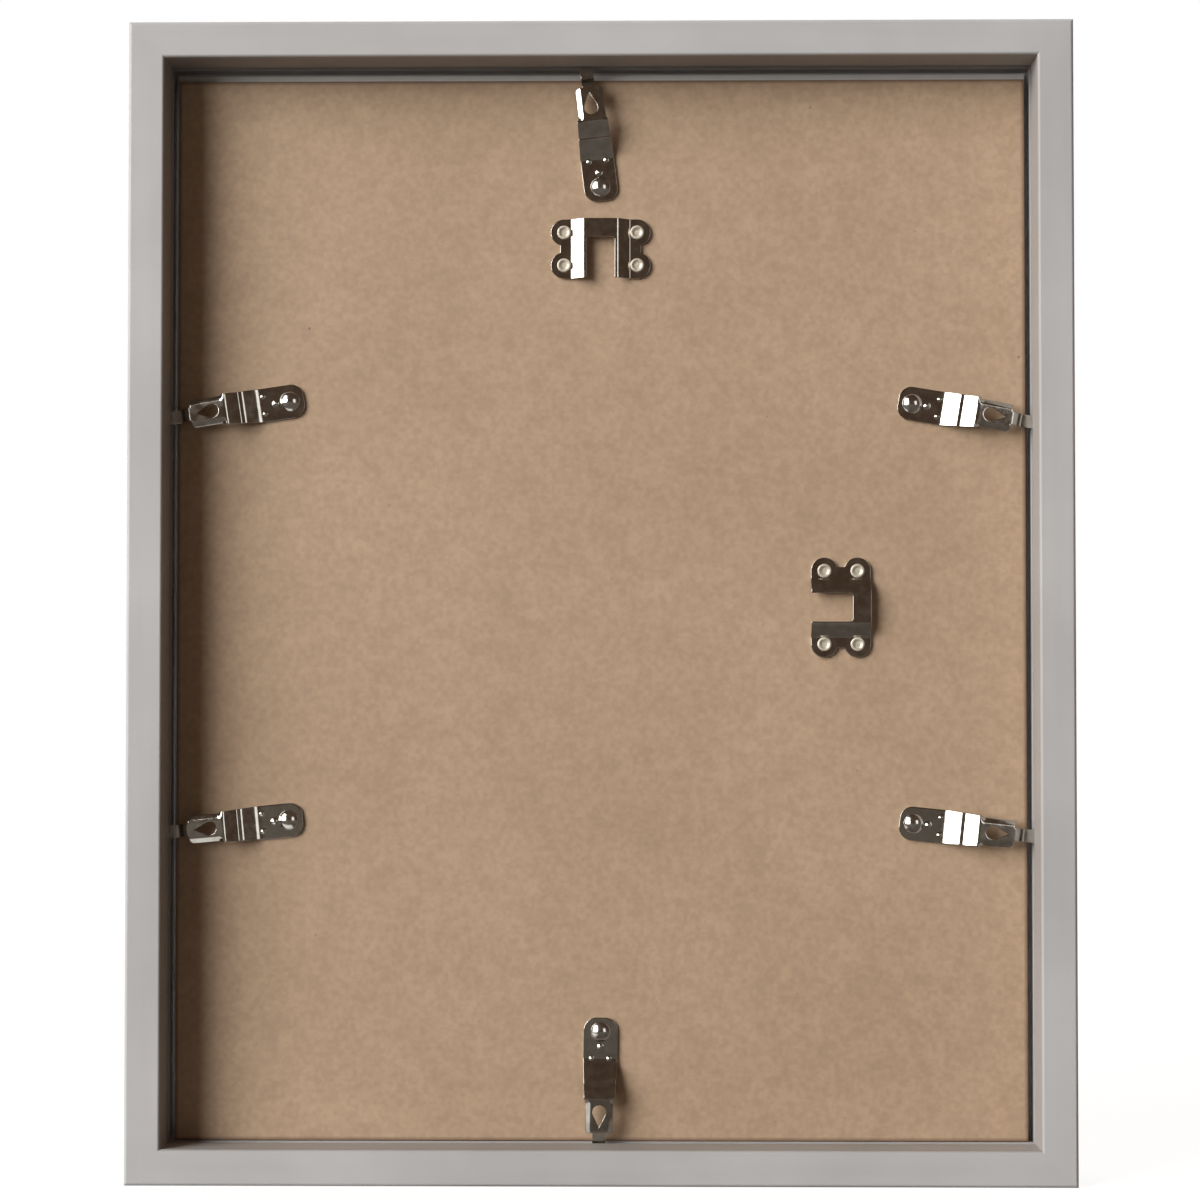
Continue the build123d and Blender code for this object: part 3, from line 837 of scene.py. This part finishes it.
def hanger_top(x, y):
    """Upper face: the bent line's upper side along the hanger's length."""
    return np.interp(y, hanger_upper_line[:, 0], hanger_upper_line[:, 1])


def hanger_under(x, y):
    """Under face: the bent line itself along the hanger's length."""
    return np.interp(y, hanger_line[:, 0], hanger_line[:, 1])


hanger_points, hanger_faces = cut_sheet(
    hanger_outline,
    hanger_top,
    hanger_under,
    (-HANGER_HALF_LENGTH - CELL / 2, -HANGER_HALF_WIDTH - CELL / 2),
    (HANGER_HALF_LENGTH, HANGER_HALF_WIDTH),
)
for name, heading in HANGER_HEADING.items():
    low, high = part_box(f"hanger_{name}")
    middle = (low + high) / 2 / MM
    placed = on_panel(hanger_points, middle.x, middle.z, heading)
    hanger = new_piece(f"bridge_{name}", placed, hanger_faces, plating)
    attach(hanger, "frame")
    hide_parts(f"hanger_{name}")


# Hanger rivets: eight hollow rivets of pale dull metal, four to a hanger.
# Each has a round-edged head with a dished middle, and a tail formed over in the panel's front.
EYELET_HEAD = 1.95
EYELET_HEIGHT = 0.7
EYELET_ROUND = 0.3
EYELET_DISH_TOP = 1.4
EYELET_DISH_FLOOR = 0.8
EYELET_DISH_DEPTH = 0.5
EYELET_RADII = (0.08, EYELET_ROUND, 0.12, 0.2)
EYELET_STEPS = 5
EYELET_GREYS = ((0.58, 0.52, 0.42), (0.72, 0.66, 0.55))
EYELET_METALLIC = 0.55
EYELET_GRAIN = 0.01


def eyelet_profile():
    """Profile of a hanger rivet: shank, head with a rounded shoulder, and a dish with eased edges."""
    head_top = HANGER_SHEET + EYELET_HEIGHT
    corners = (
        (RIVET_SHANK, HANGER_SHEET),
        (EYELET_HEAD, HANGER_SHEET),
        (EYELET_HEAD, head_top),
        (EYELET_DISH_TOP, head_top),
        (EYELET_DISH_FLOOR, head_top - EYELET_DISH_DEPTH),
        (0.0, head_top - EYELET_DISH_DEPTH),
    )
    head = rounded_line(corners, EYELET_RADII, steps=EYELET_STEPS)
    return np.concatenate([shank_profile(HANGER_SHEET)[:-1], head])


def eyelet_metal():
    """Pale tumbled metal: light, warm and dull, with a fine even grain."""
    finish, tree, shader = new_finish("eyelet_metal")
    shader.inputs["Metallic"].default_value = EYELET_METALLIC
    grain = mottle(tree, 1500.0, detail=3.0)
    tree.links.new(shades(tree, grain, *EYELET_GREYS), shader.inputs["Base Color"])
    tree.links.new(spread(tree, grain, 0.45, 0.6), shader.inputs["Roughness"])
    relief(tree, shader, grain, EYELET_GRAIN)
    return finish


pale_metal = eyelet_metal()
eyelet_points, eyelet_faces = turned(eyelet_profile())
for name, heading in HANGER_HEADING.items():
    low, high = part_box(f"hanger_rivets_{name}")
    middle = (low + high) / 2 / MM
    shifts = np.array(
        [
            (short * HANGER_PITCH_SHORT / 2, long * HANGER_PITCH_LONG / 2, 0.0)
            for short in (-1, 1)
            for long in (-1, 1)
        ]
    )
    four = (eyelet_points[None] + shifts[:, None]).reshape(-1, 3)
    steps = len(eyelet_points) * np.arange(4)[:, None, None]
    faces = (np.array(eyelet_faces)[None] + steps).reshape(-1, 4).tolist()
    placed = on_panel(four, middle.x, middle.z, heading)
    rivets = new_piece(f"eyelets_{name}", placed, faces, pale_metal)
    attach(rivets, "frame")
    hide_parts(f"hanger_rivets_{name}")


# Floor: a wide pale sheet under the frame. The camera sees it nearly white everywhere, metal and glass see
# it so beyond the frame, close by on the window's side they see a painted pool of light glowing on it, and
# the frame's shadow still falls on it.
FLOOR_HALF = 4000.0
FLOOR_GLOW = 0.91
FLOOR_COLOUR = (0.170, 0.155, 0.140)
FLOOR_FADE = (-0.06, 0.02)
PAINTED_POOL_SIDE = (0.03, 0.05)
PAINTED_POOL_NEAR = (0.09, 0.11)


def pale_floor():
    """White glow over matt grey: for the camera, and for metal and glass beyond the frame and in a painted
    pool of light.
    """
    finish, tree, shader = new_finish("pale_floor")
    shader.inputs["Base Color"].default_value = (*FLOOR_COLOUR, 1.0)
    shader.inputs["Roughness"].default_value = 1.0
    shader.inputs["Specular IOR Level"].default_value = 0.0
    shader.inputs["Emission Color"].default_value = (*WHITE, 1.0)
    rays = tree.nodes.new("ShaderNodeLightPath")
    place = tree.nodes.new("ShaderNodeTexCoord")
    parts = tree.nodes.new("ShaderNodeSeparateXYZ")
    tree.links.new(place.outputs["Object"], parts.inputs["Vector"])
    mirrored = either(tree, rays.outputs["Is Glossy Ray"], rays.outputs["Is Transmission Ray"])
    beyond = spread(tree, parts.outputs["Y"], 1.0, 0.0, *FLOOR_FADE)
    # Painted pool of light: close by on the window's side the floor glows for metal and glass only, as if lit
    # there.
    pool_side = spread(tree, parts.outputs["X"], 0.0, 1.0, *PAINTED_POOL_SIDE)
    near = spread(tree, parts.outputs["Y"], 1.0, 0.0, *PAINTED_POOL_NEAR)
    around = either(tree, beyond, multiplied(tree, pool_side, near))
    lit = multiplied(tree, mirrored, around)
    seen = either(tree, rays.outputs["Is Camera Ray"], lit)
    tree.links.new(spread(tree, seen, 0.0, FLOOR_GLOW, 0.0, 1.0), shader.inputs["Emission Strength"])
    return finish


floor_mesh = bpy.data.meshes.new("floor")
floor_corners = FLOOR_HALF * MM * np.array([(-1, -1, 0), (1, -1, 0), (1, 1, 0), (-1, 1, 0)], float)
floor_mesh.from_pydata(floor_corners.tolist(), [], [(0, 1, 2, 3)])
floor_mesh.materials.append(pale_floor())
floor = bpy.data.objects.new("floor", floor_mesh)
bpy.context.scene.collection.objects.link(floor)


# Surroundings: white beyond the frame, and a dim warm room on the side that the camera stands on, which is
# what the plated steel mirrors. A tall soft window stands to the left, brighter below than above, and a
# pale wall to the right, which shows in the metal only.
WHITE_SIDE = 1.0
DIM_SIDE = 0.095
DIM_COLOUR = (1.0, 0.66, 0.47)
SIDE_CHANGE = (-0.3, 0.02)
WINDOW_DISTANCE = 9000.0
LOWER_PANE = {"angle": 50.0, "width": 6560.0, "rise": 10.2, "height": 3880.0, "radiance": 9.2}
UPPER_PANE = {"angle": 55.0, "width": 4820.0, "rise": 33.0, "height": 4160.0, "radiance": 7.7}
WALL_DISTANCE = 2000.0
WALL = {"angle": -33.5, "width": 640.0, "rise": 10.0, "height": 1000.0, "radiance": 1.6}

world = bpy.data.worlds.new("room")
world.use_nodes = True
bpy.context.scene.world = world
room = world.node_tree
background = room.nodes["Background"]
direction = room.nodes.new("ShaderNodeTexCoord")
parts = room.nodes.new("ShaderNodeSeparateXYZ")
room.links.new(direction.outputs["Generated"], parts.inputs["Vector"])
dim = spread(room, parts.outputs["Y"], 0.0, 1.0, *SIDE_CHANGE)
rays = room.nodes.new("ShaderNodeLightPath")
unseen = spread(room, rays.outputs["Is Camera Ray"], 1.0, 0.0, 0.0, 1.0)
tint = shades(room, multiplied(room, dim, unseen), WHITE, DIM_COLOUR, 0.0, 1.0)
room.links.new(tint, background.inputs["Color"])
light = spread(room, dim, WHITE_SIDE, DIM_SIDE, 0.0, 1.0)
room.links.new(either(room, rays.outputs["Is Camera Ray"], light), background.inputs["Strength"])


def soft_light(name, distance, angle, rise, width, height, radiance):
    """A rectangle of light that faces the frame's back, turned left and raised by angles in degrees."""
    light = bpy.data.lights.new(name, "AREA")
    light.shape = "RECTANGLE"
    light.size = width * MM
    light.size_y = height * MM
    light.energy = radiance * np.pi * light.size * light.size_y
    place = bpy.data.objects.new(name, light)
    turn, lift = np.radians([angle, rise])
    outward = np.array([np.sin(turn) * np.cos(lift), np.cos(turn) * np.cos(lift), np.sin(lift)])
    place.location = (frame_middle + outward * distance) * MM
    place.rotation_euler = (np.pi / 2 - lift, 0.0, np.pi - turn)
    place.visible_camera = False
    bpy.context.scene.collection.objects.link(place)
    return place


soft_light("window_below", WINDOW_DISTANCE, **LOWER_PANE)
soft_light("window_above", WINDOW_DISTANCE, **UPPER_PANE)
pale_wall = soft_light("pale_wall", WALL_DISTANCE, **WALL)
pale_wall.visible_diffuse = False


# Camera: behind the frame, a little low and to the right of its middle, so that the top and left inner walls
# show. The lens is raised by a small shift and a slight tilt, which keeps the frame's sides nearly upright.
VIEW_DISTANCE = 690.0
VIEW_SPAN = 330.4
SENSOR = 36.0
EYE_X = -9.0
EYE_Z = 130.0
LENS_RAISE = 0.04

camera_data = bpy.data.cameras.new("camera")
camera_data.sensor_width = SENSOR
camera_data.lens = SENSOR * VIEW_DISTANCE / VIEW_SPAN
camera_data.shift_y = LENS_RAISE
camera_data.clip_start = 0.01
camera = bpy.data.objects.new("camera", camera_data)
camera.location = np.array([EYE_X, back_y + VIEW_DISTANCE, EYE_Z]) * MM
tilt = np.arctan((frame_middle[2] - EYE_Z - LENS_RAISE * VIEW_SPAN) / VIEW_DISTANCE)
swing = np.arctan((frame_middle[0] - EYE_X) / VIEW_DISTANCE)
camera.rotation_euler = (np.pi / 2 + tilt, 0.0, np.pi + swing)
bpy.context.scene.collection.objects.link(camera)
bpy.context.scene.camera = camera
bpy.context.scene.view_settings.view_transform = "Standard"
